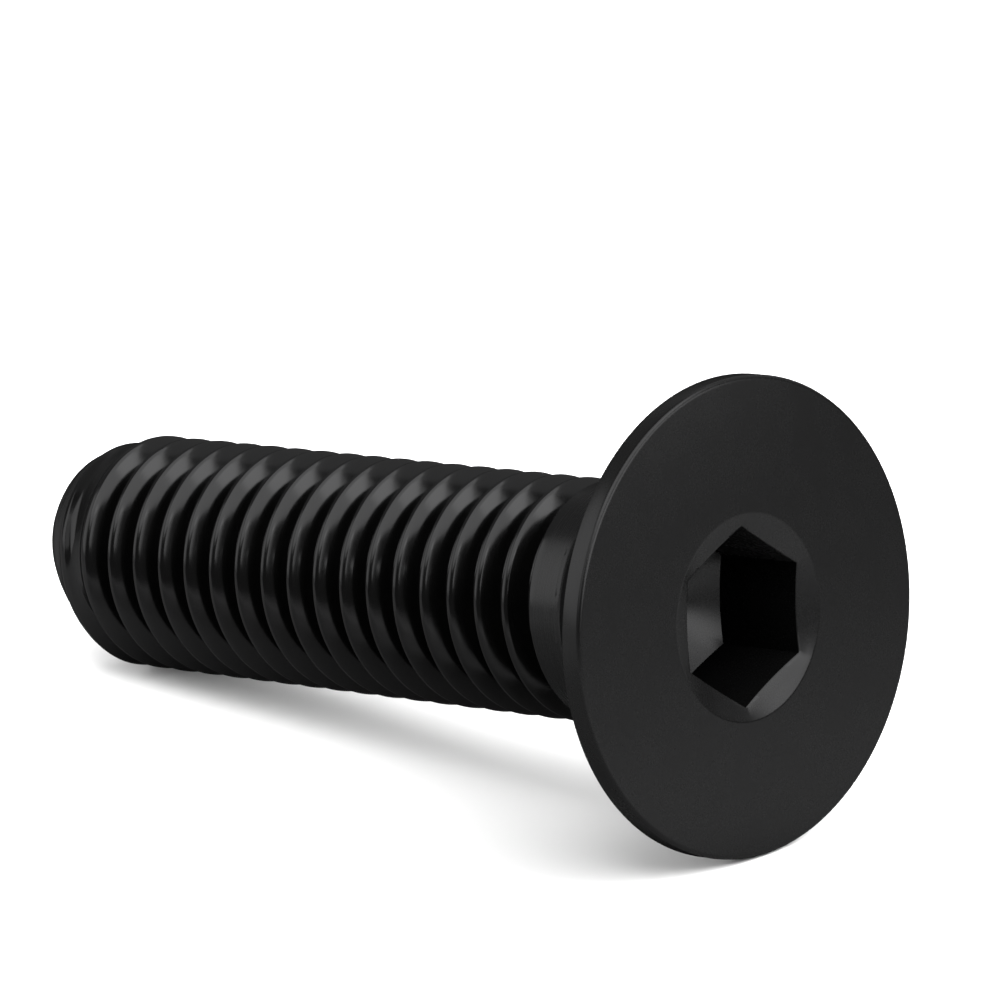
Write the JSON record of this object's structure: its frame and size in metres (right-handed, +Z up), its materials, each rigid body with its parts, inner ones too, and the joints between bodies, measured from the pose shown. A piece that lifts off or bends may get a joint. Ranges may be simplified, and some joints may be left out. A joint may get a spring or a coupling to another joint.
{
  "type": "countersunk socket screw",
  "caption": "Flat countersunk machine screw with a hexagon socket, a plain neck and a right-hand metric thread to its rounded tip, lying on its side.",
  "frame": {"origin": "centre of the head's flat face, on the screw's axis, 7.78 mm above the floor that the screw lies on", "axes": "+Z up; the head points to +X and the tip to -X, with the screw's axis in the XZ plane, climbing 7.94 degrees from the tip to the head, as it lies on a level floor"},
  "size_m": [0.0312, 0.0156, 0.0155],
  "materials": {
    "black_steel": "satin black oxide"
  },
  "bodies": {
    "root": {"screw": "black_steel"}
  },
  "joints": []
}
